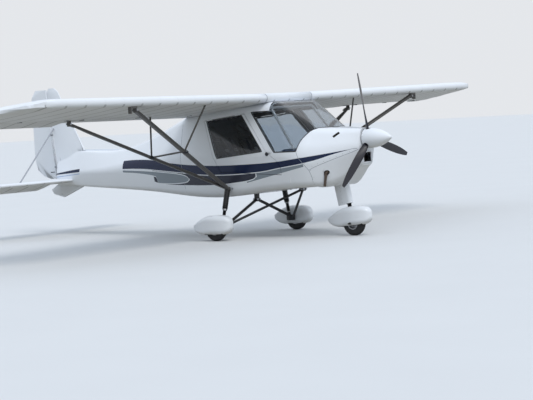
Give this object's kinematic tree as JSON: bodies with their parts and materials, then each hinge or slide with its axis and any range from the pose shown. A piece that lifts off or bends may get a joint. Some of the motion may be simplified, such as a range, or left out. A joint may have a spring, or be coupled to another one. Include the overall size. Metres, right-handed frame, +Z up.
{
  "type": "high-wing three-axis microlight aeroplane",
  "caption": "Strut-braced high-wing microlight aeroplane on a fixed nose-wheel gear with wheel spats, top-hinged cabin doors and a tractor propeller.",
  "frame": {"origin": "on the ground, at the middle of the length and of the span", "axes": "+X towards the nose, +Y to port, +Z up"},
  "size_m": [6.324, 9.8894, 2.106],
  "materials": {
    "hull": "gloss",
    "covering": "satin",
    "window": "clear",
    "strut": "painted",
    "bulkhead": "satin",
    "panel": "matt",
    "seat": "woven",
    "engine": "cast",
    "steel": "satin black",
    "blade": "satin black",
    "tyre": "rubber",
    "rim": "satin"
  },
  "bodies": {
    "airframe": {"cabin_tub": "hull", "cabin_roof": "hull", "rear_fuselage": "hull", "cowl_upper": "hull", "cowl_lower": "hull", "firewall": "bulkhead", "rear_bulkhead": "bulkhead", "windscreen": "window", "instrument_panel": "panel", "seat_port": "seat", "seat_starboard": "seat", "control_stick": "panel", "engine_block": "engine", "exhaust_pipe": "steel", "centre_section": "covering", "wing_port": "covering", "wing_starboard": "covering", "front_strut_port": "strut", "front_strut_starboard": "strut", "rear_strut_port": "strut", "rear_strut_starboard": "strut", "jury_struts_port": "strut", "jury_struts_starboard": "strut", "fin": "covering", "tailplane": "covering", "tail_strut_port": "strut", "tail_strut_starboard": "strut", "ventral_fin": "covering", "main_leg_port": "steel", "main_leg_starboard": "steel", "gear_bracket": "steel", "shock_port": "steel", "shock_starboard": "steel", "main_spat_port": "hull", "main_spat_starboard": "hull", "nose_leg": "steel", "nose_leg_fairing": "hull"},
    "propeller": {"propeller": "blade", "spinner": "hull"},
    "nose_fork": {"nose_fork": "steel", "nose_spat": "hull"},
    "nose_wheel": {"tyre_nose": "tyre", "rim_nose": "rim"},
    "wheel_port": {"tyre_main_port": "tyre", "rim_main_port": "rim"},
    "wheel_starboard": {"tyre_main_starboard": "tyre", "rim_main_starboard": "rim"},
    "door_port": {"door_port": "hull", "door_glass_port": "window"},
    "door_starboard": {"door_starboard": "hull", "door_glass_starboard": "window"},
    "aileron_port": {"aileron_port": "covering"},
    "aileron_starboard": {"aileron_starboard": "covering"},
    "flap_port": {"flap_port": "covering"},
    "flap_starboard": {"flap_starboard": "covering"},
    "elevator": {"elevator": "covering"},
    "rudder": {"rudder": "covering"}
  },
  "joints": [
    {"name": "propeller_spin", "type": "hinge", "parent": "airframe", "child": "propeller", "pos_m": [2.836, 0, 1.2], "axis": [1, 0, 0], "continuous": true},
    {"name": "nose_steer", "type": "hinge", "parent": "airframe", "child": "nose_fork", "pos_m": [2.42, 0, 0.626], "axis": [-0.2007, 0, 0.9796], "range_deg": [-20, 20]},
    {"name": "nose_wheel_spin", "type": "hinge", "parent": "nose_fork", "child": "nose_wheel", "pos_m": [2.531, 0, 0.155], "axis": [0, 1, 0], "continuous": true},
    {"name": "wheel_port_spin", "type": "hinge", "parent": "airframe", "child": "wheel_port", "pos_m": [0.966, 0.818, 0.155], "axis": [0, 1, 0], "continuous": true},
    {"name": "wheel_starboard_spin", "type": "hinge", "parent": "airframe", "child": "wheel_starboard", "pos_m": [0.966, -0.818, 0.155], "axis": [0, 1, 0], "continuous": true},
    {"name": "door_port_hinge", "type": "hinge", "parent": "airframe", "child": "door_port", "pos_m": [0.58, 0.499, 1.519], "axis": [0.9953, 0.0229, 0.0945], "range_deg": [0, 75]},
    {"name": "door_starboard_hinge", "type": "hinge", "parent": "airframe", "child": "door_starboard", "pos_m": [0.58, -0.499, 1.519], "axis": [-0.9953, 0.0229, -0.0945], "range_deg": [0, 75]},
    {"name": "aileron_port_hinge", "type": "hinge", "parent": "airframe", "child": "aileron_port", "pos_m": [0.47285, 2.80971, 1.65407], "axis": [0, 0.9999, 0.0115], "range_deg": [-28, 12]},
    {"name": "aileron_starboard_hinge", "type": "hinge", "parent": "airframe", "child": "aileron_starboard", "pos_m": [0.47285, -2.80971, 1.65407], "axis": [0, 0.9999, -0.0115], "range_deg": [-12, 28]},
    {"name": "flap_port_hinge", "type": "hinge", "parent": "airframe", "child": "flap_port", "pos_m": [0.47285, 0.61985, 1.62885], "axis": [0, -0.9999, -0.0115], "range_deg": [0, 40]},
    {"name": "flap_starboard_hinge", "type": "hinge", "parent": "airframe", "child": "flap_starboard", "pos_m": [0.47285, -0.61985, 1.62885], "axis": [0, -0.9999, 0.0115], "range_deg": [0, 40]},
    {"name": "elevator_hinge", "type": "hinge", "parent": "airframe", "child": "elevator", "pos_m": [-2.714, 0, 0.76319], "axis": [0, 1, 0], "range_deg": [-2, 43]},
    {"name": "rudder_hinge", "type": "hinge", "parent": "airframe", "child": "rudder", "pos_m": [-2.738, 0, 0.83], "axis": [-0.1052, 0, 0.9945], "range_deg": [-25, 25]}
  ],
  "couplings": [
    {"joint": "aileron_starboard_hinge", "follows": "aileron_port_hinge", "ratio": -1},
    {"joint": "flap_starboard_hinge", "follows": "flap_port_hinge", "ratio": 1}
  ]
}
